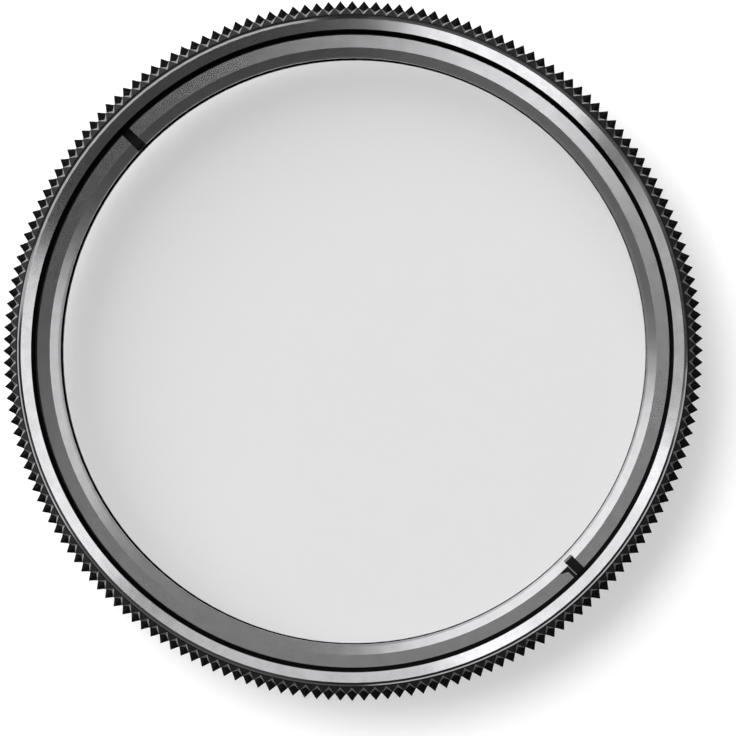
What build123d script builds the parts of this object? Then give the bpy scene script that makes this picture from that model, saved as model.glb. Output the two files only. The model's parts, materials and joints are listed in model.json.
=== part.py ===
from build123d import *
import math
import os

# Screw-in lens filter: a clear glass disc in a knurled mount ring, clamped by a threaded retaining ring.
# Millimetres. Z is the optical axis, and +Z points to the front, away from the lens. The origin is on
# the axis, level with the rear end of the male thread, which the filter stands on.
# The fine threads are left plain: a free thread is drawn at its root, and an engaged one at its pitch line.

# Filter thread, the same at the rear and at the front
thread_diameter = 52.0
thread_pitch = 0.75
thread_clearance = 0.03  # radial, at the front thread's root and round the retaining ring

# Mount ring, along the axis
male_thread_length = 2.0
seat_below_shoulder = 0.2  # the glass seat lies this far behind the rim's rear shoulder
lip_thickness = 0.55  # the lip that the glass sits on
ring_recess = 0.05  # the retaining ring's bore stands this far above the ring
front_thread_depth = 1.75
rear_band_height = 2.45  # plain band between the rear shoulder and the knurl
knurl_setback = 0.05  # the knurl starts this far below the front edge

# Mount ring, across the axis
lip_width = 1.3  # from the glass pocket in to the aperture
rear_wall = 0.65  # from the male thread's root in to the rear bore
seat_step = 0.65  # from the glass pocket out to the retaining ring's bore
land_width = 0.82  # front face, between the thread and the groove
land_drop = 0.16  # the front face falls inwards by this much
groove_width = 0.38  # V groove between the front face and the knurl
groove_depth = 0.11
knurl_margin = 0.08  # plain edge between the groove and the knurl
rear_step = 0.3  # the plain rear band lies this far inside the knurl's end edge
edge_break = 0.02
lead_chamfer = 0.15
rear_bore_chamfer = 0.15
band_chamfer = 0.2

# Diamond knurl, on a crowned rim
knurl_count = 184
knurl_shoulder_rise = 0.58  # tips of the first and last row above the knurl's end edges
knurl_crown_rise = 1.16  # tips of the middle row above the knurl's end edges
knurl_shoulder_depth = 0.32  # grooves between the tips of the first and last row
knurl_crown_depth = 0.6  # grooves between the tips of the middle row

# Glass disc
glass_thickness = 2.0
glass_clearance = 0.1  # radial, in its pocket
glass_chamfer = 0.15

# Retaining ring
clamp_gap = 0.1  # the glass stands this far above its pocket, so the ring bears on glass alone
ring_thickness = 0.9
ring_reveal = 0.06  # the ring's opening is this much wider than the lip's, in radius
toe_width = 0.15  # narrow inner edge below the bevel
toe_thickness = 0.4
bevel_width = 0.67
ring_top_drop = 0.08  # the ring's top falls inwards by this much
slot_width = 0.8
slot_web = 0.5  # metal left under the spanner slots
slot_angle = 136.0

# A cutting section runs this far past the surface that it cuts
cut_margin = 1.0

# Thread radii from the basic metric profile
thread_radius = thread_diameter / 2
sharp_height = thread_pitch * math.sqrt(3) / 2
male_root_radius = thread_radius - sharp_height * 17 / 24
female_root_radius = thread_radius + thread_clearance
pitch_radius = thread_radius - sharp_height * 3 / 8

# Heights, from the rear end to the front
shoulder_z = male_thread_length
seat_z = shoulder_z - seat_below_shoulder
lip_rear_z = seat_z - lip_thickness
glass_top_z = seat_z + glass_thickness
ring_top_z = glass_top_z + ring_thickness
ring_bore_top_z = ring_top_z + ring_recess
front_z = ring_bore_top_z + front_thread_depth
land_inner_z = front_z - land_drop
knurl_front_z = front_z - knurl_setback
knurl_rear_z = shoulder_z + rear_band_height

# Radii, from the aperture outwards
rear_bore_radius = male_root_radius - rear_wall
ring_bore_radius = pitch_radius
ring_outer_radius = ring_bore_radius - thread_clearance
pocket_radius = ring_bore_radius - seat_step
lip_radius = pocket_radius - lip_width
glass_radius = pocket_radius - glass_clearance
land_inner_radius = female_root_radius + edge_break
land_outer_radius = land_inner_radius + land_width
groove_radius = land_outer_radius + groove_width / 2
groove_slope = 2 * groove_depth / groove_width
knurl_end_radius = groove_radius + (groove_depth - knurl_setback) / groove_slope + knurl_margin
rear_band_radius = knurl_end_radius - rear_step

# Rows of the knurl, front to rear: the height of their tips above the end edges, and their depth
knurl_rises = [0, knurl_shoulder_rise, knurl_crown_rise, knurl_shoulder_rise, 0]
knurl_depths = [0, knurl_shoulder_depth, knurl_crown_depth, knurl_shoulder_depth, 0]
knurl_bands = len(knurl_rises) - 1
knurl_row_height = (knurl_front_z - knurl_rear_z) / knurl_bands
columns_per_tooth = 2
knurl_columns = columns_per_tooth * knurl_count


def turned(*section):
    """Solid turned about the axis from a closed section of (radius, height) points."""
    return revolve(Plane.XZ * make_face(Polyline(*section, close=True)), Axis.Z)


def knurl_point(level, column):
    """Corner of the knurl: a tip where level and column are both odd or both even, else a groove."""
    radius = knurl_end_radius + knurl_rises[level]
    if (level + column) % 2:
        radius -= knurl_depths[level]
    angle = 2 * math.pi * column / knurl_columns
    return Vector(
        radius * math.cos(angle),
        radius * math.sin(angle),
        knurl_front_z - level * knurl_row_height,
    )


def knurl_facets(band, column):
    """Two facets between four corners, folded along the groove, or at the end bands along the tip's edge."""
    corners = [
        knurl_point(band, column),
        knurl_point(band, column + 1),
        knurl_point(band + 1, column + 1),
        knurl_point(band + 1, column),
    ]
    end_band = band in (0, knurl_bands - 1)
    if ((band + column) % 2 == 0) != end_band:
        corners = corners[1:] + corners[:1]
    first, second, third, fourth = corners
    return [Face(Wire.make_polygon(facet)) for facet in ((first, second, third), (third, fourth, first))]


def knurled_blank():
    """Solid disc with the diamond knurl round its edge: one tooth's facets, patterned about the axis."""
    tooth = [
        facet
        for band in range(knurl_bands)
        for column in range(columns_per_tooth)
        for facet in knurl_facets(band, column)
    ]
    facets = [place * facet for place in PolarLocations(0, knurl_count) for facet in tooth]
    ends = [
        Face(Wire.make_polygon([knurl_point(level, column) for column in range(knurl_columns)]))
        for level in (0, knurl_bands)
    ]
    return Solid(Shell(facets + ends))


def mount_ring():
    """Frame turned from one piece: male thread, knurled rim, front thread, ring bore and glass lip."""
    outside = turned(
        (0, 0),
        (male_root_radius - lead_chamfer, 0),
        (male_root_radius, lead_chamfer),
        (male_root_radius, shoulder_z),
        (rear_band_radius - band_chamfer, shoulder_z),
        (rear_band_radius, shoulder_z + band_chamfer),
        (rear_band_radius, knurl_front_z),
        (groove_radius, knurl_front_z),
        (groove_radius, front_z),
        (0, front_z),
    )
    bore = turned(
        (0, -cut_margin),
        (rear_bore_radius + rear_bore_chamfer + cut_margin, -cut_margin),
        (rear_bore_radius, rear_bore_chamfer),
        (rear_bore_radius, lip_rear_z),
        (lip_radius, lip_rear_z),
        (lip_radius, seat_z),
        (pocket_radius, seat_z),
        (pocket_radius, glass_top_z - clamp_gap),
        (ring_bore_radius, glass_top_z - clamp_gap),
        (ring_bore_radius, ring_bore_top_z),
        (female_root_radius, ring_bore_top_z),
        (female_root_radius, land_inner_z - edge_break),
        (land_inner_radius, land_inner_z),
        (land_outer_radius, front_z),
        (land_outer_radius, front_z + cut_margin),
        (0, front_z + cut_margin),
    )
    groove_reach = (groove_depth + cut_margin) / groove_slope
    groove = turned(
        (groove_radius, front_z - groove_depth),
        (groove_radius + groove_reach, front_z + cut_margin),
        (groove_radius - groove_reach, front_z + cut_margin),
    )
    return (outside + knurled_blank() - bore - groove).solid()


def glass_disc():
    """Clear plane-parallel glass, resting on the mount ring's lip."""
    disc = Cylinder(glass_radius, glass_thickness, align=(Align.CENTER, Align.CENTER, Align.MIN))
    return Pos(0, 0, seat_z) * chamfer(disc.edges().filter_by(GeomType.CIRCLE), glass_chamfer)


def retaining_ring():
    """Threaded ring that clamps the glass, bevelled towards the aperture, with two spanner slots."""
    ring_inner_radius = lip_radius + ring_reveal
    toe_radius = ring_inner_radius + toe_width
    toe_z = glass_top_z + toe_thickness
    ring = turned(
        (ring_inner_radius, glass_top_z),
        (ring_outer_radius, glass_top_z),
        (ring_outer_radius, ring_top_z - edge_break),
        (ring_outer_radius - edge_break, ring_top_z),
        (toe_radius + bevel_width, ring_top_z - ring_top_drop),
        (toe_radius, toe_z),
        (ring_inner_radius, toe_z),
    )
    saw = Box(
        2 * (ring_outer_radius + cut_margin),
        slot_width,
        ring_thickness + cut_margin,
        align=(Align.CENTER, Align.CENTER, Align.MIN),
    )
    return (ring - Rot(0, 0, slot_angle) * Pos(0, 0, glass_top_z + slot_web) * saw).solid()


os.makedirs("parts", exist_ok=True)
export_step(mount_ring(), "parts/mount_ring.step")
export_step(glass_disc(), "parts/glass_disc.step")
export_step(retaining_ring(), "parts/retaining_ring.step")
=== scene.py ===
"""Looks of a screw-in lens filter: its finishes, its two fine threads and the studio round it.

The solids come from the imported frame: a knurled mount ring, a clear glass disc and the slotted ring
that clamps it. This script dresses them, cuts the two filter threads that the solids leave plain,
and lights the filter on a glass table over white paper. Sizes are in metres, unless a name says mm.
"""

import json
import logging
import math
from dataclasses import dataclass
from enum import Enum

import bpy
from mathutils import Matrix, Vector


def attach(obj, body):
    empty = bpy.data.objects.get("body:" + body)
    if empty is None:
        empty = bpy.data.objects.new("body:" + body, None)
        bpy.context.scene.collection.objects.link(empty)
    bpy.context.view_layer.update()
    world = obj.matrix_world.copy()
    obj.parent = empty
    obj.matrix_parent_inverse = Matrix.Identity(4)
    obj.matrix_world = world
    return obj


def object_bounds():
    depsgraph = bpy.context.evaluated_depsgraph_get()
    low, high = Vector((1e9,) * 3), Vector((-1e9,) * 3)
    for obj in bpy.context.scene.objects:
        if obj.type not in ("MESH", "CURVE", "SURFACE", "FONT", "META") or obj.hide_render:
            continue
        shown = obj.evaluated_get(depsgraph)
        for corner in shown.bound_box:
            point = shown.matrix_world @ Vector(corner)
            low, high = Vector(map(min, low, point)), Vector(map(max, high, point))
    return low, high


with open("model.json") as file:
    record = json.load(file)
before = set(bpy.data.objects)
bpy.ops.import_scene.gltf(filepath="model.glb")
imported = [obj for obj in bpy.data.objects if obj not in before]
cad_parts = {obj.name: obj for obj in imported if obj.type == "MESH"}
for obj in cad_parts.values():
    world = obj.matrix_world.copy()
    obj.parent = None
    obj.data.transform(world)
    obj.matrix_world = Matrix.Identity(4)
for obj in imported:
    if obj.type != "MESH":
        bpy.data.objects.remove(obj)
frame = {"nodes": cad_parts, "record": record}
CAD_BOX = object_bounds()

LOG = logging.getLogger("lens_filter")
MM = 0.001
MERGE = 0.0005 * MM
BODY = "root"

# Range of a noise over most of a surface, lumps of tone to a metre, and the share of a relief that shows
NOISE_LOW = 0.3
NOISE_HIGH = 0.7
TONE_SCALE = 900.0
RELIEF_SHARE = 0.5

Socket = bpy.types.NodeSocket
Feed = Socket | float | tuple[float, ...]
Colour = tuple[float, ...]
Section = list[tuple[float, float]]


class Sum(Enum):
    """Steps of a Math node."""

    ADD = "ADD"
    SUBTRACT = "SUBTRACT"
    MULTIPLY = "MULTIPLY"
    DIVIDE = "DIVIDE"
    MAXIMUM = "MAXIMUM"
    ABSOLUTE = "ABSOLUTE"
    LESS = "LESS_THAN"
    ANGLE = "ARCTAN2"


class Turn(Enum):
    """Steps of a Vector Math node."""

    MULTIPLY = "MULTIPLY"
    SUBTRACT = "SUBTRACT"
    SCALE = "SCALE"
    DOT = "DOT_PRODUCT"


class Port(Enum):
    """Kinds of socket on a node group."""

    VALUE = "NodeSocketFloat"
    NORMAL = "NodeSocketVector"


class Side(Enum):
    """The side of its wall that a thread is cut on."""

    OUTSIDE = 1
    INSIDE = -1


class NodeSheet:
    """Adds and joins the nodes of one tree."""

    def __init__(self, tree: bpy.types.NodeTree) -> None:
        """Keep the tree, emptied.

        Args:
            tree: Node tree of a material, a group or the world.
        """
        self.tree = tree
        tree.nodes.clear()

    def add(self, kind: str, **settings: object) -> bpy.types.Node:
        """Add a node.

        Args:
            kind: Type name of the node.
            settings: Properties to set on it.

        Returns:
            The new node.
        """
        node = self.tree.nodes.new(kind)
        for name, value in settings.items():
            setattr(node, name, value)
        return node

    def feed(self, socket: Socket, value: Feed) -> None:
        """Join an input to another node's output, or set it to a plain value.

        Args:
            socket: Input to fill.
            value: Output to join, or a plain value.
        """
        if isinstance(value, Socket):
            self.tree.links.new(value, socket)
        else:
            socket.default_value = value

    def math(self, step: Sum, first: Feed, second: Feed = 0.0, clamp: bool = False) -> Socket:
        """Add a Math node.

        Args:
            step: What it works out.
            first: First value.
            second: Second value.
            clamp: Whether the result is held between 0 and 1.

        Returns:
            Its result.
        """
        node = self.add("ShaderNodeMath", operation=step.value, use_clamp=clamp)
        self.feed(node.inputs[0], first)
        self.feed(node.inputs[1], second)
        return node.outputs[0]

    def fade(self, value: Feed, start: Feed, end: Feed, low: Feed = 0.0, high: Feed = 1.0) -> Socket:
        """Ease from one level to another while a value goes from a start to an end.

        Args:
            value: Value that is followed.
            start: Where the low level ends.
            end: Where the high level begins.
            low: Level before the start.
            high: Level after the end.

        Returns:
            The eased level.
        """
        node = self.add("ShaderNodeMapRange", interpolation_type="SMOOTHSTEP")
        for socket, item in zip(node.inputs, (value, start, end, low, high)):
            self.feed(socket, item)
        return node.outputs["Result"]

    def blend(self, share: Feed, first: Feed, second: Feed) -> Socket:
        """Mix two colours.

        Args:
            share: Share of the second colour.
            first: Colour at share 0.
            second: Colour at share 1.

        Returns:
            The mixed colour.
        """
        node = self.add("ShaderNodeMix", data_type="RGBA")
        self.feed(node.inputs["Factor"], share)
        self.feed(node.inputs[6], first)
        self.feed(node.inputs[7], second)
        return node.outputs[2]

    def noise(self, place: Feed, scale: float, detail: float = 2.0, rough: float = 0.5) -> Socket:
        """Add a noise texture.

        Args:
            place: Coordinates.
            scale: Number of lumps to a unit of the coordinates.
            detail: Number of finer layers.
            rough: Weight of the finer layers.

        Returns:
            Its value, about 0.5.
        """
        node = self.add("ShaderNodeTexNoise")
        self.feed(node.inputs["Vector"], place)
        self.feed(node.inputs["Scale"], scale)
        self.feed(node.inputs["Detail"], detail)
        self.feed(node.inputs["Roughness"], rough)
        return node.outputs["Fac"]

    def place(self) -> Socket:
        """Object coordinates, in the filter's own frame."""
        return self.add("ShaderNodeTexCoord").outputs["Object"]

    def split(self, vector: Socket) -> tuple[Socket, Socket, Socket]:
        """Split a vector into its parts.

        Args:
            vector: Vector to split.

        Returns:
            Its X, Y and Z.
        """
        node = self.add("ShaderNodeSeparateXYZ")
        self.feed(node.inputs[0], vector)
        return tuple(node.outputs)

    def join(self, x: Feed, y: Feed, z: Feed) -> Socket:
        """Make a vector of three parts.

        Args:
            x: First part.
            y: Second part.
            z: Third part.

        Returns:
            The vector.
        """
        node = self.add("ShaderNodeCombineXYZ")
        for socket, value in zip(node.inputs, (x, y, z)):
            self.feed(socket, value)
        return node.outputs[0]

    def radius(self, vector: Socket) -> Socket:
        """Distance from the optical axis.

        Args:
            vector: Object coordinates.

        Returns:
            The radius.
        """
        flat = self.vector(Turn.MULTIPLY, vector, (1.0, 1.0, 0.0))
        length = self.add("ShaderNodeVectorMath", operation="LENGTH")
        self.feed(length.inputs[0], flat.outputs[0])
        return length.outputs["Value"]

    def use(self, group: bpy.types.NodeTree, **values: Feed) -> bpy.types.Node:
        """Place a node group.

        Args:
            group: The group.
            values: What its inputs get, by name, with _ for a space.

        Returns:
            The group's node.
        """
        node = self.add("ShaderNodeGroup", node_tree=group)
        for name, value in values.items():
            self.feed(node.inputs[name.replace("_", " ")], value)
        return node

    def vector(self, step: Turn, first: Feed, second: Feed) -> bpy.types.Node:
        """Add a Vector Math node.

        Args:
            step: What it works out.
            first: First vector.
            second: Second vector, or the factor of a scaling.

        Returns:
            The node.
        """
        node = self.add("ShaderNodeVectorMath", operation=step.value)
        self.feed(node.inputs[0], first)
        self.feed(node.inputs["Scale"] if step is Turn.SCALE else node.inputs[1], second)
        return node

    def mix(self, share: Feed, first: Socket, second: Socket) -> Socket:
        """Mix two shaders.

        Args:
            share: Share of the second shader.
            first: Shader at share 0.
            second: Shader at share 1.

        Returns:
            The mixed shader.
        """
        node = self.add("ShaderNodeMixShader")
        for socket, value in zip(node.inputs, (share, first, second)):
            self.feed(socket, value)
        return node.outputs[0]

    def show(self, surface: Socket) -> None:
        """Join a shader to the material's output.

        Args:
            surface: Shader to show.
        """
        output = next(node for node in self.tree.nodes if node.type == "OUTPUT_MATERIAL")
        self.feed(output.inputs["Surface"], surface)

    def bump(self, height: Socket, depth: float, normal: Socket) -> Socket:
        """Raise the surface by a height.

        Args:
            height: Height, 0 to 1.
            depth: Real depth of a height of 1.
            normal: Normal of the plain surface.

        Returns:
            The changed normal.
        """
        node = self.add("ShaderNodeBump")
        self.feed(node.inputs["Strength"], RELIEF_SHARE)
        self.feed(node.inputs["Distance"], depth)
        self.feed(node.inputs["Height"], height)
        self.feed(node.inputs["Normal"], normal)
        return node.outputs["Normal"]


class GroupSheet(NodeSheet):
    """A shader node group that several finishes share."""

    def __init__(self, name: str, inputs: dict[str, float], outputs: dict[str, Port]) -> None:
        """Make an empty group with its sockets.

        Args:
            name: Name of the group.
            inputs: Its value inputs and what they start at.
            outputs: Its outputs and their kinds.
        """
        super().__init__(bpy.data.node_groups.new(name, "ShaderNodeTree"))
        for port, start in inputs.items():
            socket = self.tree.interface.new_socket(port, in_out="INPUT", socket_type=Port.VALUE.value)
            socket.default_value = start
        for port, kind in outputs.items():
            self.tree.interface.new_socket(port, in_out="OUTPUT", socket_type=kind.value)
        self.given = self.add("NodeGroupInput").outputs
        self.result = self.add("NodeGroupOutput").inputs


@dataclass(frozen=True)
class Effects:
    """Node groups for the surface detail that several finishes share."""

    turning: bpy.types.NodeTree
    grain: bpy.types.NodeTree
    specks: bpy.types.NodeTree
    band: bpy.types.NodeTree
    straight: bpy.types.NodeTree

    @classmethod
    def build(cls) -> "Effects":
        """Build each group once.

        Returns:
            The groups.
        """
        return cls(cls.turning_marks(), cls.anodised_grain(), cls.dust_specks(), cls.radial_band(),
                   cls.turned_normal())

    @staticmethod
    def turning_marks() -> bpy.types.NodeTree:
        """Fine rings that a cutting tool leaves, which waver a little on the way round.

        Returns:
            A group with a Height.
        """
        sheet = GroupSheet("turning_marks", {"Pitch": 0.06 * MM, "Waver": 1.0}, {"Height": Port.VALUE})
        place = sheet.place()
        x, y, z = sheet.split(place)
        angle = sheet.math(Sum.ANGLE, y, x)
        rings = sheet.math(Sum.DIVIDE, sheet.radius(place), sheet.given["Pitch"])
        steps = sheet.math(Sum.DIVIDE, z, sheet.given["Pitch"])
        waver = sheet.math(Sum.MULTIPLY, angle, sheet.given["Waver"])
        height = sheet.noise(sheet.join(rings, steps, waver), 1.0, detail=3.0, rough=0.6)
        sheet.feed(sheet.result["Height"], height)
        return sheet.tree

    @staticmethod
    def anodised_grain() -> bpy.types.NodeTree:
        """Etched grain of an anodised skin, with a slow change of tone under it.

        Returns:
            A group with a Height and a Tone.
        """
        sheet = GroupSheet("anodised_grain", {"Size": 0.05 * MM},
                           {"Height": Port.VALUE, "Tone": Port.VALUE})
        place = sheet.place()
        fine = sheet.vector(Turn.SCALE, place, sheet.math(Sum.DIVIDE, 1.0, sheet.given["Size"]))
        sheet.feed(sheet.result["Height"], sheet.noise(fine.outputs[0], 1.0, detail=2.0, rough=0.6))
        sheet.feed(sheet.result["Tone"], sheet.noise(place, TONE_SCALE, detail=4.0, rough=0.6))
        return sheet.tree

    @staticmethod
    def dust_specks() -> bpy.types.NodeTree:
        """Pale dust, as scattered round specks of uneven size.

        Returns:
            A group with a Mask.
        """
        sheet = GroupSheet("dust_specks", {"Spacing": 1.0 * MM, "Size": 0.1}, {"Mask": Port.VALUE})
        density = sheet.math(Sum.DIVIDE, 1.0, sheet.given["Spacing"])
        spread = sheet.vector(Turn.SCALE, sheet.place(), density)
        cells = sheet.add("ShaderNodeTexVoronoi")
        sheet.feed(cells.inputs["Vector"], spread.outputs[0])
        sheet.feed(cells.inputs["Scale"], 1.0)
        chance = sheet.split(cells.outputs["Color"])[0]
        reach = sheet.math(Sum.MULTIPLY, sheet.given["Size"], chance)
        mask = sheet.math(Sum.LESS, cells.outputs["Distance"], reach)
        sheet.feed(sheet.result["Mask"], mask)
        return sheet.tree

    @staticmethod
    def radial_band() -> bpy.types.NodeTree:
        """Zone between two radii, with soft edges.

        Returns:
            A group with a Mask.
        """
        sheet = GroupSheet("radial_band", {"Inner": 0.0, "Outer": 1.0, "Soft": 0.01 * MM},
                           {"Mask": Port.VALUE})
        radius = sheet.radius(sheet.place())
        inner, outer, soft = (sheet.given[name] for name in ("Inner", "Outer", "Soft"))
        rise = sheet.fade(radius, inner, sheet.math(Sum.ADD, inner, soft))
        fall = sheet.fade(radius, sheet.math(Sum.SUBTRACT, outer, soft), outer, 1.0, 0.0)
        sheet.feed(sheet.result["Mask"], sheet.math(Sum.MULTIPLY, rise, fall))
        return sheet.tree

    @staticmethod
    def turned_normal() -> bpy.types.NodeTree:
        """Normal of a turned surface, freed of the slight sideways lean beside a mesh seam.

        Returns:
            A group with a Normal.
        """
        sheet = GroupSheet("turned_normal", {"Limit": 0.1}, {"Normal": Port.NORMAL})
        given = sheet.add("ShaderNodeTexCoord").outputs
        x, y, _ = sheet.split(given["Object"])
        radius = sheet.radius(given["Object"])
        right = sheet.math(Sum.DIVIDE, sheet.math(Sum.MULTIPLY, y, -1.0), radius)
        sideways = sheet.join(right, sheet.math(Sum.DIVIDE, x, radius), 0.0)
        lean = sheet.vector(Turn.DOT, given["Normal"], sideways).outputs["Value"]
        limit = sheet.given["Limit"]
        half_limit = sheet.math(Sum.MULTIPLY, limit, 0.5)
        slight = sheet.fade(sheet.math(Sum.ABSOLUTE, lean), half_limit, limit, 1.0, 0.0)
        shift = sheet.vector(Turn.SCALE, sideways, sheet.math(Sum.MULTIPLY, lean, slight)).outputs[0]
        straight = sheet.vector(Turn.SUBTRACT, given["Normal"], shift).outputs[0]
        world = sheet.add("ShaderNodeVectorTransform", vector_type="NORMAL", convert_from="OBJECT",
                          convert_to="WORLD")
        sheet.feed(world.inputs[0], straight)
        sheet.feed(sheet.result["Normal"], world.outputs[0])
        return sheet.tree


class Finish:
    """A material with one Principled shader, made by its own nodes."""

    name = "finish"

    def sheet(self) -> tuple[bpy.types.Material, NodeSheet, bpy.types.Node]:
        """Start the material.

        Returns:
            The material, its node sheet and its Principled shader, joined to the output.
        """
        material = bpy.data.materials.new(self.name)
        material.use_nodes = True
        sheet = NodeSheet(material.node_tree)
        shader = sheet.add("ShaderNodeBsdfPrincipled")
        sheet.add("ShaderNodeOutputMaterial")
        sheet.show(shader.outputs[0])
        return material, sheet, shader


@dataclass(frozen=True)
class MountFinish(Finish):
    """Black anodising: matt on the knurl and in the bores, finely turned on the front face, with painted
    shade in the front groove and a painted highlight on the knurl's steep flanks.
    """

    name: str = "mount_anodising"
    front_inner: float = 26.04 * MM
    front_outer: float = 27.17 * MM
    front_low: float = 6.25 * MM
    groove_inner: float = 26.865 * MM
    knurl_inner: float = 27.23 * MM
    front_colour: Colour = (0.27, 0.27, 0.275, 1.0)
    groove_shade_colour: Colour = (0.11, 0.11, 0.113, 1.0)
    flank_highlight_colour: Colour = (0.14, 0.14, 0.14, 1.0)
    shoulder_colour: Colour = (0.017, 0.017, 0.0174, 1.0)
    matt_colour: Colour = (0.003, 0.003, 0.0031, 1.0)
    knurl_middle: float = 5.45 * MM
    knurl_row: float = 0.5 * MM
    flank_flat: float = 0.6
    flank_soft: float = 0.05
    soft: float = 0.02 * MM
    groove_soft: float = 0.01 * MM
    grain_size: float = 0.04 * MM
    turning_pitch: float = 0.05 * MM
    turning_waver: float = 2.0
    relief_depth: float = 0.0002 * MM
    dull_tone: float = 0.88
    front_rough: float = 0.12
    matt_rough: float = 0.28
    uneven_rough: float = 0.04
    gloss: float = 0.03

    def knurl_colour(self, sheet: NodeSheet) -> Socket:
        """Colour of the knurl: a little lighter on its end rows, whose steep flanks are painted pale as
        a painted highlight for the light bars they catch.

        Args:
            sheet: Node sheet of the material.

        Returns:
            The colour, which is matt black away from the end rows.
        """
        facing = sheet.split(sheet.add("ShaderNodeTexCoord").outputs["Normal"])[2]
        upward = sheet.math(Sum.ABSOLUTE, facing)
        # painted highlight: steep flanks of the end rows get a pale colour, picked by how steeply they
        # face
        flank = sheet.fade(upward, self.flank_flat - self.flank_soft, self.flank_flat, 1.0, 0.0)
        row = sheet.blend(flank, self.shoulder_colour, self.flank_highlight_colour)
        height = sheet.split(sheet.place())[2]
        away = sheet.math(Sum.ABSOLUTE, sheet.math(Sum.SUBTRACT, height, self.knurl_middle))
        end = sheet.fade(away, self.knurl_row - self.soft, self.knurl_row)
        outer = sheet.fade(sheet.radius(sheet.place()), self.knurl_inner, self.knurl_inner + self.soft)
        return sheet.blend(sheet.math(Sum.MULTIPLY, outer, end), self.matt_colour, row)

    def build(self, effects: Effects) -> bpy.types.Material:
        """Build the material.

        Args:
            effects: Shared surface detail.

        Returns:
            The material.
        """
        material, sheet, shader = self.sheet()
        height = sheet.split(sheet.place())[2]
        band = sheet.use(effects.band, Inner=self.front_inner, Outer=self.front_outer).outputs["Mask"]
        level = sheet.fade(height, self.front_low, self.front_low + self.soft)
        front = sheet.math(Sum.MULTIPLY, band, level)
        grain = sheet.use(effects.grain, Size=self.grain_size)
        marks = sheet.use(effects.turning, Pitch=self.turning_pitch, Waver=self.turning_waver)
        tone = sheet.fade(grain.outputs["Tone"], NOISE_LOW, NOISE_HIGH, self.dull_tone, 1.0)
        radius = sheet.radius(sheet.place())
        # painted shade: the groove beside the front face gets a darker colour than the face
        groove = sheet.fade(radius, self.groove_inner, self.groove_inner + self.groove_soft)
        turned = sheet.blend(groove, self.front_colour, self.groove_shade_colour)
        colour = sheet.blend(front, self.knurl_colour(sheet), turned)
        shade = sheet.vector(Turn.SCALE, colour, tone)
        sheet.feed(shader.inputs["Base Color"], shade.outputs[0])
        sheet.feed(shader.inputs["Metallic"], front)
        sheet.feed(shader.inputs["Specular IOR Level"], self.gloss)
        rough = sheet.fade(front, 0.0, 1.0, self.matt_rough, self.front_rough)
        uneven = sheet.fade(grain.outputs["Height"], NOISE_LOW, NOISE_HIGH,
                            -self.uneven_rough, self.uneven_rough)
        sheet.feed(shader.inputs["Roughness"], sheet.math(Sum.ADD, rough, uneven, clamp=True))
        relief = sheet.math(Sum.ADD, sheet.math(Sum.MULTIPLY, marks.outputs["Height"], front),
                            grain.outputs["Height"])
        straight = sheet.use(effects.straight).outputs["Normal"]
        sheet.feed(shader.inputs["Normal"], sheet.bump(relief, self.relief_depth, straight))
        return material


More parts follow.
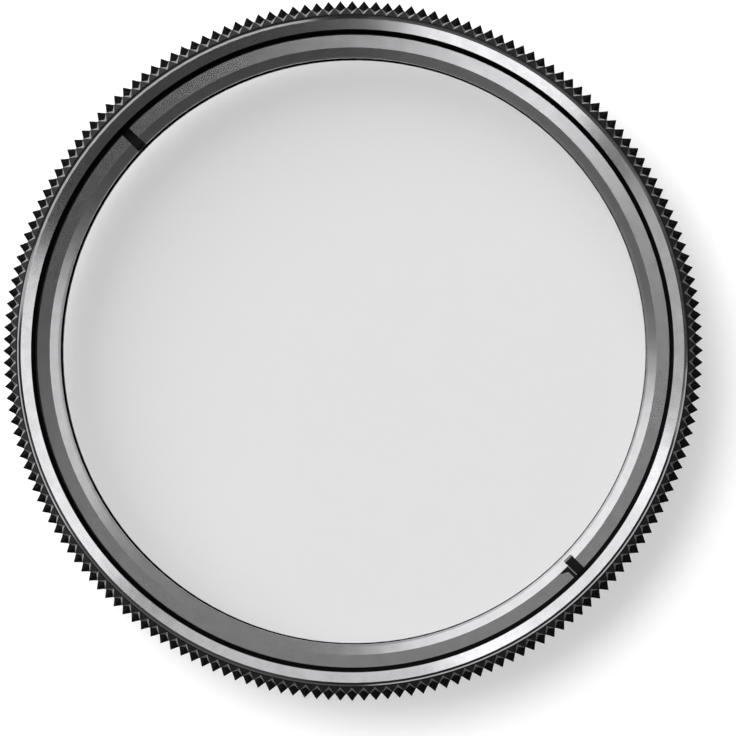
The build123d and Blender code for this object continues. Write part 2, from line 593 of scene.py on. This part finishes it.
@dataclass(frozen=True)
class RingFinish(Finish):
    """Satin grey anodising of the retaining ring, turned in fine rings, with a dark sunk patch by one
    slot and painted shade inside both slots.
    """

    name: str = "ring_anodising"
    colour: Colour = (0.27, 0.27, 0.275, 1.0)
    wedge_and_slot_shade_colour: Colour = (0.004, 0.004, 0.004, 1.0)
    dust_colour: Colour = (0.5, 0.5, 0.5, 1.0)
    rough: float = 0.12
    bevel_rough: float = 0.3
    cover_rough: float = 0.6
    bevel_outer: float = 24.69 * MM
    bevel_soft: float = 0.02 * MM
    gloss: float = 0.1
    grain_size: float = 0.05 * MM
    turning_pitch: float = 0.06 * MM
    turning_waver: float = 2.0
    dull_tone: float = 0.9
    dust_spacing: float = 1.6 * MM
    dust_size: float = 0.03
    relief_depth: float = 0.0001 * MM
    toe_inner: float = 23.86 * MM
    toe_outer: float = 24.02 * MM
    toe_depth: float = 0.15 * MM
    slot_azimuth: float = math.radians(-44.0)
    slot_half_width: float = 0.4 * MM
    mark_inner: float = 24.67 * MM
    mark_neck: float = 25.12 * MM
    mark_width: float = 0.95 * MM
    mark_neck_width: float = 0.36 * MM
    mark_wall: float = 0.06 * MM
    mark_edge: float = 0.03 * MM
    mark_depth: float = 0.018 * MM
    slot_edge: float = 0.02 * MM
    slot_top: float = 4.52 * MM
    slot_shade_start: float = 24.36 * MM

    def along_slot(self, sheet: NodeSheet) -> tuple[Socket, Socket, Socket]:
        """Coordinates turned in line with the two slots.

        Args:
            The place along the slot with the dark patch, across it and in height.

        Returns:
            The place along the slot with the slip mark, across it and in height.
        """
        turn = sheet.add("ShaderNodeMapping", vector_type="TEXTURE")
        sheet.feed(turn.inputs["Vector"], sheet.place())
        sheet.feed(turn.inputs["Rotation"], (0.0, 0.0, self.slot_azimuth))
        return sheet.split(turn.outputs[0])

    def dark_wedge_patch(self, sheet: NodeSheet) -> Socket:
        """Dark patch beside one slot, sunk a little: a wedge that narrows to a strip.

        Args:
            sheet: Node sheet of the material.

        Returns:
            Its mask.
        """
        along, across, _ = self.along_slot(sheet)
        beside = sheet.math(Sum.SUBTRACT, sheet.math(Sum.MULTIPLY, across, -1.0), self.slot_half_width)
        width = sheet.fade(along, self.mark_inner, self.mark_neck, self.mark_width, self.mark_neck_width)
        begins = sheet.fade(beside, self.mark_wall, self.mark_wall + self.mark_edge)
        ends = sheet.fade(sheet.math(Sum.SUBTRACT, beside, width), -self.mark_edge, 0.0, 1.0, 0.0)
        outward = sheet.fade(along, self.mark_inner, self.mark_inner + self.mark_edge)
        return sheet.math(Sum.MULTIPLY, outward, sheet.math(Sum.MULTIPLY, begins, ends))

    def slot_inside(self, sheet: NodeSheet) -> Socket:
        """Floor and walls of the two slots, painted dark as painted shade, apart from the inner end of
        the slot beside the dark patch.

        Args:
            sheet: Node sheet of the material.

        Returns:
            Their mask.
        """
        along, across, height = self.along_slot(sheet)
        wide = self.slot_half_width + self.slot_edge
        between = sheet.math(Sum.LESS, sheet.math(Sum.ABSOLUTE, across), wide)
        deep = sheet.math(Sum.LESS, height, self.slot_top)
        outward = sheet.fade(along, self.slot_shade_start, self.slot_shade_start + self.slot_edge)
        dark = sheet.math(Sum.MAXIMUM, outward, sheet.math(Sum.LESS, along, 0.0))
        return sheet.math(Sum.MULTIPLY, dark, sheet.math(Sum.MULTIPLY, between, deep))

    def build(self, effects: Effects) -> bpy.types.Material:
        """Build the material.

        Args:
            effects: Shared surface detail.

        Returns:
            The material.
        """
        material, sheet, shader = self.sheet()
        mark = sheet.math(Sum.MAXIMUM, self.dark_wedge_patch(sheet), self.slot_inside(sheet))
        grain = sheet.use(effects.grain, Size=self.grain_size)
        marks = sheet.use(effects.turning, Pitch=self.turning_pitch, Waver=self.turning_waver)
        dust = sheet.use(effects.specks, Spacing=self.dust_spacing, Size=self.dust_size).outputs["Mask"]
        tone = sheet.fade(grain.outputs["Tone"], NOISE_LOW, NOISE_HIGH, self.dull_tone, 1.0)
        shade = sheet.vector(Turn.SCALE, self.colour[:3], tone)
        dusty = sheet.blend(dust, shade.outputs[0], self.dust_colour)
        # painted shade inside the slots, and the dark patch by one slot, take the near-black colour
        sheet.feed(shader.inputs["Base Color"], sheet.blend(mark, dusty, self.wedge_and_slot_shade_colour))
        cover = sheet.math(Sum.MAXIMUM, dust, mark)
        sheet.feed(shader.inputs["Metallic"], sheet.math(Sum.SUBTRACT, 1.0, cover, clamp=True))
        radius = sheet.radius(sheet.place())
        bevel_end = self.bevel_outer - self.bevel_soft
        rough = sheet.fade(radius, bevel_end, self.bevel_outer, self.bevel_rough, self.rough)
        sheet.feed(shader.inputs["Roughness"], sheet.fade(cover, 0.0, 1.0, rough, self.cover_rough))
        sheet.feed(shader.inputs["Specular IOR Level"], self.gloss)
        relief = sheet.math(Sum.ADD, marks.outputs["Height"], grain.outputs["Height"])
        toe = sheet.fade(radius, self.toe_inner, self.toe_outer, 0.0, self.toe_depth / self.relief_depth)
        sunk_patch_and_slots = sheet.math(Sum.MULTIPLY, mark, self.mark_depth / self.relief_depth)
        shaped = sheet.math(Sum.SUBTRACT, sheet.math(Sum.ADD, relief, toe), sunk_patch_and_slots)
        straight = sheet.use(effects.straight).outputs["Normal"]
        sheet.feed(shader.inputs["Normal"], sheet.bump(shaped, self.relief_depth, straight))
        return material


@dataclass(frozen=True)
class ThreadFinish(Finish):
    """Matt black anodising of the threads, rubbed a little on the crests, and darker than the knurl as a
    painted shade for the deep front bore.
    """

    name: str = "thread_anodising"
    # partly painted shade: this near-black colour also stands in for the shade in the front bore
    colour: Colour = (0.0015, 0.0015, 0.0016, 1.0)
    rubbed_colour: Colour = (0.004, 0.004, 0.0042, 1.0)
    gloss: float = 0.01
    crest: float = 26.0 * MM
    crest_depth: float = 0.06 * MM
    wear_low: float = 0.35
    wear_high: float = 0.65
    grain_size: float = 0.04 * MM
    turning_pitch: float = 0.04 * MM
    turning_waver: float = 3.0
    relief_depth: float = 0.002 * MM
    rough: float = 0.5
    uneven_rough: float = 0.05

    def build(self, effects: Effects) -> bpy.types.Material:
        """Build the material.

        Args:
            effects: Shared surface detail.

        Returns:
            The material.
        """
        material, sheet, shader = self.sheet()
        rubbed = sheet.use(effects.band, Inner=self.crest - self.crest_depth,
                           Outer=self.crest + self.crest_depth).outputs["Mask"]
        grain = sheet.use(effects.grain, Size=self.grain_size)
        marks = sheet.use(effects.turning, Pitch=self.turning_pitch, Waver=self.turning_waver)
        patches = sheet.fade(grain.outputs["Tone"], self.wear_low, self.wear_high)
        worn = sheet.math(Sum.MULTIPLY, rubbed, patches)
        sheet.feed(shader.inputs["Base Color"], sheet.blend(worn, self.colour, self.rubbed_colour))
        sheet.feed(shader.inputs["Specular IOR Level"], self.gloss)
        uneven = sheet.fade(grain.outputs["Height"], NOISE_LOW, NOISE_HIGH,
                            self.rough - self.uneven_rough, self.rough + self.uneven_rough)
        sheet.feed(shader.inputs["Roughness"], uneven)
        relief = sheet.math(Sum.ADD, marks.outputs["Height"], grain.outputs["Height"])
        straight = sheet.use(effects.straight).outputs["Normal"]
        sheet.feed(shader.inputs["Normal"], sheet.bump(relief, self.relief_depth, straight))
        return material


@dataclass(frozen=True)
class GlassFinish(Finish):
    """Clear coated glass with a trace of dust, which lets lamp light through to the paper."""

    name: str = "clear_glass"
    tint: Colour = (0.89, 0.89, 0.897, 1.0)
    shadow_tint: Colour = (0.745, 0.745, 0.745, 1.0)
    dust_colour: Colour = (0.6, 0.6, 0.6, 1.0)
    dust_spacing: float = 5.0 * MM
    dust_size: float = 0.012
    polish: float = 0.0
    smear: float = 0.012
    smear_low: float = 0.5
    smear_high: float = 0.8
    grain_size: float = 0.3 * MM
    index: float = 1.5
    coating: Colour = (0.015, 0.018, 0.016, 1.0)

    def build(self, effects: Effects) -> bpy.types.Material:
        """Build the material.

        Args:
            effects: Shared surface detail.

        Returns:
            The material.
        """
        material, sheet, shader = self.sheet()
        tone = sheet.use(effects.grain, Size=self.grain_size).outputs["Tone"]
        dust = sheet.use(effects.specks, Spacing=self.dust_spacing, Size=self.dust_size).outputs["Mask"]
        sheet.feed(shader.inputs["Base Color"], sheet.blend(dust, self.tint, self.dust_colour))
        smear = sheet.fade(tone, self.smear_low, self.smear_high, self.polish, self.smear)
        sheet.feed(shader.inputs["Roughness"], sheet.math(Sum.ADD, smear, dust, clamp=True))
        sheet.feed(shader.inputs["IOR"], self.index)
        sheet.feed(shader.inputs["Specular Tint"], self.coating)
        sheet.feed(shader.inputs["Transmission Weight"], 1.0)
        clear = sheet.add("ShaderNodeBsdfTransparent")
        sheet.feed(clear.inputs["Color"], self.shadow_tint)
        ray = sheet.add("ShaderNodeLightPath").outputs
        lamp = sheet.math(Sum.MAXIMUM, ray["Is Shadow Ray"], ray["Is Diffuse Ray"])
        sheet.show(sheet.mix(lamp, shader.outputs[0], clear.outputs[0]))
        return material


@dataclass(frozen=True)
class PaperFinish(Finish):
    """Matt white paper with a faint tooth, lifted to a white ground, seen from its upper side only."""

    name: str = "white_paper"
    colour: Colour = (0.96, 0.96, 0.96, 1.0)
    fibre_colour: Colour = (0.94, 0.94, 0.94, 1.0)
    fibre_scale: float = 2500.0
    lift: float = 0.186

    def build(self) -> bpy.types.Material:
        """Build the material.

        Returns:
            The material.
        """
        material, sheet, shader = self.sheet()
        fibre = sheet.noise(sheet.place(), self.fibre_scale, detail=4.0)
        sheet.feed(shader.inputs["Base Color"], sheet.blend(fibre, self.colour, self.fibre_colour))
        sheet.feed(shader.inputs["Roughness"], 1.0)
        sheet.feed(shader.inputs["Specular IOR Level"], 0.0)
        ray = sheet.add("ShaderNodeLightPath").outputs
        mirrored = sheet.math(Sum.MAXIMUM, ray["Is Glossy Ray"], ray["Is Transmission Ray"])
        shown = sheet.math(Sum.MAXIMUM, ray["Is Camera Ray"], mirrored)
        sheet.feed(shader.inputs["Emission Color"], self.colour)
        sheet.feed(shader.inputs["Emission Strength"], sheet.math(Sum.MULTIPLY, shown, self.lift))
        one_sided(sheet, shader.outputs[0])
        return material


@dataclass(frozen=True)
class TableFinish(Finish):
    """Clear coated sheet that the filter lies on: see-through, with a faint mirror image."""

    name: str = "glass_table"
    index: float = 1.08
    rough: float = 0.02

    def build(self) -> bpy.types.Material:
        """Build the material.

        Returns:
            The material.
        """
        material, sheet, shader = self.sheet()
        sheet.tree.nodes.remove(shader)
        clear = sheet.add("ShaderNodeBsdfTransparent")
        mirror = sheet.add("ShaderNodeBsdfGlossy")
        sheet.feed(mirror.inputs["Roughness"], self.rough)
        share = sheet.add("ShaderNodeFresnel")
        sheet.feed(share.inputs["IOR"], self.index)
        one_sided(sheet, sheet.mix(share.outputs[0], clear.outputs[0], mirror.outputs[0]))
        return material


def one_sided(sheet: NodeSheet, front: Socket) -> None:
    """Make a stage surface see-through from behind, and join it to the material's output.

    Args:
        sheet: Node sheet of the material.
        front: Shader of its front.
    """
    behind = sheet.add("ShaderNodeBsdfTransparent")
    back = sheet.add("ShaderNodeNewGeometry").outputs["Backfacing"]
    sheet.show(sheet.mix(back, front, behind.outputs[0]))


def deselect_all() -> None:
    """Leave nothing selected, in object mode."""
    if bpy.context.mode != "OBJECT":
        bpy.ops.object.mode_set(mode="OBJECT")
    bpy.ops.object.select_all(action="DESELECT")


def wear(piece: bpy.types.Object, material: bpy.types.Material) -> None:
    """Give a piece one material.

    Args:
        piece: Mesh object.
        material: Its material.
    """
    if not piece.material_slots:
        piece.data.materials.append(material)
    for slot in piece.material_slots:
        slot.link = "OBJECT"
        slot.material = material


@dataclass
class ThreadRidge:
    """Helical ridge of a right-hand filter thread, on a plain wall of the mount ring."""

    name: str
    mount: str
    side: Side
    crest_radius: float
    crest_flat: float
    lead_low: float
    lead_high: float
    pitch: float = 0.75 * MM
    root_sink: float = 0.02 * MM
    steps: int = 160
    spare_turns: int = 2
    flank: float = math.radians(30.0)
    smooth: float = math.radians(25.0)

    def wall(self) -> tuple[float, float, float]:
        """Wall that carries the thread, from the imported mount.

        Returns:
            Its radius and its lower and upper end.
        """
        mount = next(item for item in frame["record"]["mounts"] if item["name"] == self.mount)
        half = mount["dims"]["length_mm"] * MM / 2
        middle = mount["pos_m"][2]
        return mount["dims"]["r_mm"] * MM, middle - half, middle + half

    def ridge_section(self, root: float, low: float) -> Section:
        """Corners of the ridge where its helix begins.

        Args:
            root: Radius of the root, sunk a little in the wall.
            low: Height of the ridge's middle.

        Returns:
            Radius and height of four corners, from the root's lower one round to its upper one.
        """
        crest_half = self.crest_flat / 2
        root_half = crest_half + abs(self.crest_radius - root) * math.tan(self.flank)
        return [(root, low - root_half), (self.crest_radius, low - crest_half),
                (self.crest_radius, low + crest_half), (root, low + root_half)]

    def trim_section(self, root: float, wall: float, low: float, high: float) -> Section:
        """Corners of the turned blank that the ridge is cut from, with a lead chamfer at each end.

        Args:
            root: Radius of the root, sunk a little in the wall.
            wall: Radius of the wall.
            low: Lower end of the wall.
            high: Upper end of the wall.

        Returns:
            Radius and height of six corners.
        """
        sink = self.side.value * self.root_sink
        crest = self.crest_radius + sink
        start = wall - sink / 2
        reach = abs(crest - start)
        return [(root - sink, low), (start, low), (crest, low + reach * self.lead_low),
                (crest, high - reach * self.lead_high), (start, high), (root - sink, high)]

    def wind(self, name: str, section: Section, rise: float, turns: int) -> bpy.types.Object:
        """Wind a closed section about the axis.

        Args:
            name: Name of the new object.
            section: Radius and height of its corners.
            rise: Height that a turn gains.
            turns: Number of turns.

        Returns:
            The object, closed and facing outwards.
        """
        deselect_all()
        bpy.ops.mesh.primitive_circle_add(vertices=len(section), radius=self.pitch)
        shape = bpy.context.active_object
        shape.name = name
        for corner, (radius, height) in zip(shape.data.vertices, section):
            corner.co = (radius, 0.0, height)
        bpy.ops.object.modifier_add(type="SCREW")
        screw = shape.modifiers[-1]
        screw.axis = "Z"
        screw.angle = math.tau
        screw.screw_offset = rise
        screw.iterations = turns
        screw.steps = self.steps
        screw.render_steps = self.steps
        bpy.ops.object.modifier_apply(modifier=screw.name)
        bpy.ops.object.mode_set(mode="EDIT")
        bpy.ops.mesh.select_all(action="SELECT")
        bpy.ops.mesh.remove_doubles(threshold=MERGE)
        bpy.ops.mesh.fill_holes(sides=len(section))
        bpy.ops.mesh.select_all(action="SELECT")
        bpy.ops.mesh.normals_make_consistent(inside=False)
        bpy.ops.object.mode_set(mode="OBJECT")
        return shape

    def build(self) -> bpy.types.Object:
        """Wind the ridge up its helix and trim it to its wall.

        Returns:
            The ridge.
        """
        wall, low, high = self.wall()
        root = wall - self.side.value * self.root_sink
        turns = math.ceil((high - low) / self.pitch) + self.spare_turns
        blank = self.wind("thread_blank", self.trim_section(root, wall, low, high), 0.0, 1)
        ridge = self.wind(self.name, self.ridge_section(root, low - self.pitch), self.pitch, turns)
        bpy.ops.object.modifier_add(type="BOOLEAN")
        trim = ridge.modifiers[-1]
        trim.operation = "INTERSECT"
        trim.solver = "EXACT"
        trim.object = blank
        bpy.ops.object.modifier_apply(modifier=trim.name)
        bpy.data.objects.remove(blank)
        bpy.ops.object.shade_smooth_by_angle(angle=self.smooth)
        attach(ridge, BODY)
        return ridge


@dataclass
class MountRing:
    """Knurled frame of the filter, with its two threads."""

    node: str = "mount_ring"
    pitch: float = 0.75 * MM
    crest_radius: float = 26.0 * MM
    bore_crest_radius: float = 25.69 * MM
    bore_crest_flat: float = 0.263 * MM

    def threads(self) -> list[ThreadRidge]:
        """Both threads.

        Returns:
            The male thread at the rear and the female thread at the front.
        """
        rear = ThreadRidge("rear_thread", "rear_thread", Side.OUTSIDE, self.crest_radius,
                           self.pitch / 8, lead_low=0.6, lead_high=0.3)
        front = ThreadRidge("front_thread", "front_thread", Side.INSIDE, self.bore_crest_radius,
                            self.bore_crest_flat, lead_low=0.2, lead_high=0.8)
        return [rear, front]

    def build(self, effects: Effects) -> list[bpy.types.Object]:
        """Dress the frame and cut its threads.

        Args:
            effects: Shared surface detail.

        Returns:
            The frame and the two threads.
        """
        body = frame["nodes"][self.node]
        wear(body, MountFinish().build(effects))
        black = ThreadFinish().build(effects)
        pieces = [body]
        for thread in self.threads():
            ridge = thread.build()
            wear(ridge, black)
            pieces.append(ridge)
        return pieces


@dataclass
class RetainingRing:
    """Slotted ring that clamps the glass."""

    node: str = "retaining_ring"

    def build(self, effects: Effects) -> list[bpy.types.Object]:
        """Dress the ring.

        Args:
            effects: Shared surface detail.

        Returns:
            The ring.
        """
        ring = frame["nodes"][self.node]
        wear(ring, RingFinish().build(effects))
        return [ring]


@dataclass
class GlassDisc:
    """Clear glass of the filter."""

    node: str = "glass_disc"

    def build(self, effects: Effects) -> list[bpy.types.Object]:
        """Dress the glass.

        Args:
            effects: Shared surface detail.

        Returns:
            The glass.
        """
        disc = frame["nodes"][self.node]
        wear(disc, GlassFinish().build(effects))
        return [disc]


@dataclass(frozen=True)
class Lamp:
    """Sun lamp that lights surfaces and casts the soft shadow, unseen in reflections."""

    name: str
    lean: tuple[float, float]
    level: float
    spread: float
    shadow: bool

    def build(self) -> bpy.types.Object:
        """Hang the lamp.

        Returns:
            The lamp.
        """
        deselect_all()
        bpy.ops.object.light_add(type="SUN")
        lamp = bpy.context.active_object
        lamp.name = self.name
        toward = Vector((self.lean[0], self.lean[1], 1.0)).normalized()
        lamp.rotation_euler = toward.to_track_quat("Z", "Y").to_euler()
        lamp.data.energy = self.level * math.pi / toward.z
        lamp.data.angle = math.radians(self.spread)
        lamp.data.use_shadow = self.shadow
        lamp.visible_glossy = False
        lamp.visible_transmission = False
        lamp.visible_camera = False
        return lamp


@dataclass(frozen=True)
class Panel:
    """Reflector panel that shows only as a bright shape mirrored in metal and glass.

    Its middle lies at a lean of (x, y) for each unit of height above the filter.
    """

    name: str
    lean: tuple[float, float]
    width: float
    length: float
    glow: float
    distance: float = 0.6

    def build(self) -> bpy.types.Object:
        """Hang the panel, facing the filter, with its length pointing up to the zenith.

        Returns:
            The panel.
        """
        deselect_all()
        bpy.ops.object.light_add(type="AREA")
        panel = bpy.context.active_object
        panel.name = self.name
        toward = Vector((self.lean[0], self.lean[1], 1.0)).normalized()
        side = Vector((-self.lean[1], self.lean[0], 0.0)).normalized()
        upward = toward.cross(side)
        turn = Matrix((side, upward, toward)).transposed()
        panel.rotation_euler = turn.to_euler()
        panel.location = toward * self.distance
        panel.data.shape = "RECTANGLE"
        panel.data.size = self.width * self.distance
        panel.data.size_y = self.length * self.distance
        panel.data.energy = 4.0 * self.glow * panel.data.size * panel.data.size_y
        panel.visible_diffuse = False
        panel.visible_transmission = False
        panel.visible_camera = False
        return panel


@dataclass
class Studio:
    """Glass table over white paper, its lamps and panels, and the camera above."""

    table_gap: float = 0.02 * MM
    paper_depth: float = 3.6 * MM
    stage_size: float = 30.0
    camera_height: float = 450.0 * MM
    camera_side: tuple[float, float] = (18.3 * MM, -9.6 * MM)
    aim: tuple[float, float] = (1.32 * MM, -1.43 * MM)
    frame_width: float = 59.54 * MM
    sensor_mm: float = 36.0
    sky: float = 0.17
    horizon: float = 0.9
    haze_low: float = 0.08
    haze_high: float = 0.3

    def lamps(self) -> list[Lamp]:
        """The lamps that light the paper and the knurl, all from the upper left.

        Returns:
            The key lamp, a wide side lamp and a low fill that casts no shadow.
        """
        return [
            Lamp("key_lamp", (-0.283, 0.283), level=0.222, spread=24.0, shadow=True),
            Lamp("side_lamp", (-0.495, 0.495), level=0.437, spread=62.0, shadow=True),
            Lamp("fill_lamp", (-6.0, 6.0), level=0.242, spread=2.0, shadow=False),
        ]

    def panels(self) -> list[Panel]:
        """The panels that show in the metal.

        Returns:
            The panels.
        """
        return [
            Panel("ceiling", (-0.0327, 0.1071), width=0.5, length=0.176, glow=0.38),
            Panel("key_panel", (-0.366, 0.323), width=0.27, length=0.4, glow=2.2),
            Panel("left_ceiling", (-0.40, 0.02), width=0.28, length=0.46, glow=1.0),
            Panel("top_ceiling", (-0.045, 0.40), width=0.31, length=0.46, glow=1.4),
            Panel("right_panel", (0.325, 0.13), width=0.29, length=0.32, glow=2.3),
            Panel("strip_panel", (-0.183, -0.239), width=0.175, length=0.22, glow=2.8),
            Panel("strip_spot", (-0.0725, -0.0295), width=0.033, length=0.033, glow=5.6),
            Panel("strip_haze", (-0.0575, -0.04), width=0.1, length=0.1, glow=0.27),
            Panel("key_panel_low", (-1.241, 1.198), width=1.3, length=0.46, glow=2.9),
            Panel("top_panel_low", (0.86, 1.5), width=1.0, length=0.46, glow=0.45),
            Panel("right_panel_low", (1.307, 0.23), width=0.75, length=0.242, glow=3.0),
            Panel("left_panel_low", (-1.22, -1.22), width=1.2, length=0.46, glow=0.2),
        ]

    def sheet_at(self, name: str, height: float, material: bpy.types.Material) -> bpy.types.Object:
        """Lay a large flat sheet.

        Args:
            name: Name of the sheet.
            height: Its level.
            material: Its finish.

        Returns:
            The sheet.
        """
        deselect_all()
        bpy.ops.mesh.primitive_plane_add(size=self.stage_size)
        sheet = bpy.context.active_object
        sheet.name = name
        bpy.ops.object.mode_set(mode="EDIT")
        bpy.ops.mesh.select_all(action="SELECT")
        bpy.ops.transform.translate(value=(0.0, 0.0, height))
        bpy.ops.object.mode_set(mode="OBJECT")
        wear(sheet, material)
        return sheet

    def surroundings(self) -> None:
        """Fill the world with dim air that is pale towards the horizon."""
        world = bpy.data.worlds.new("studio_air")
        bpy.context.scene.world = world
        world.use_nodes = True
        sheet = NodeSheet(world.node_tree)
        rise = sheet.split(sheet.add("ShaderNodeTexCoord").outputs["Generated"])[2]
        steepness = sheet.math(Sum.ABSOLUTE, rise)
        level = sheet.fade(steepness, self.haze_low, self.haze_high, self.horizon, self.sky)
        air = sheet.add("ShaderNodeBackground")
        sheet.feed(air.inputs["Color"], level)
        output = sheet.add("ShaderNodeOutputWorld")
        sheet.feed(output.inputs["Surface"], air.outputs[0])

    def camera(self, front: float) -> bpy.types.Object:
        """Set the camera above the filter, a little to one side, with +Y up in the picture.

        Args:
            front: Height of the filter's front edge.

        Returns:
            The camera.
        """
        place = Vector((*self.camera_side, front + self.camera_height))
        look = Vector((*self.aim, front)) - place
        deselect_all()
        bpy.ops.object.camera_add(location=place)
        camera = bpy.context.active_object
        camera.name = "camera"
        back = -look.normalized()
        right = Vector((0.0, 1.0, 0.0)).cross(back).normalized()
        turn = Matrix((right, back.cross(right), back)).transposed()
        camera.rotation_euler = turn.to_euler()
        camera.data.sensor_width = self.sensor_mm
        camera.data.lens = self.sensor_mm * look.length / self.frame_width
        bpy.context.scene.camera = camera
        return camera

    def build(self, base: float, front: float) -> None:
        """Build the whole studio.

        Args:
            base: Lowest level of the filter.
            front: Highest level of the filter.
        """
        self.sheet_at("glass_table", base - self.table_gap, TableFinish().build())
        self.sheet_at("white_paper", base - self.paper_depth, PaperFinish().build())
        for light in (*self.lamps(), *self.panels()):
            light.build()
        self.surroundings()
        self.camera(front)
        bpy.context.scene.view_settings.view_transform = "Standard"


def main() -> None:
    """Dress the filter, piece by piece, and set up the studio."""
    logging.basicConfig(level=logging.INFO, format="%(name)s: %(message)s")
    effects = Effects.build()
    for assembly in (MountRing(), GlassDisc(), RetainingRing()):
        for piece in assembly.build(effects):
            LOG.info("%s has %d faces", piece.name, len(piece.data.polygons))
    Studio().build(CAD_BOX[0].z, CAD_BOX[1].z)


if __name__ == "__main__":
    main()
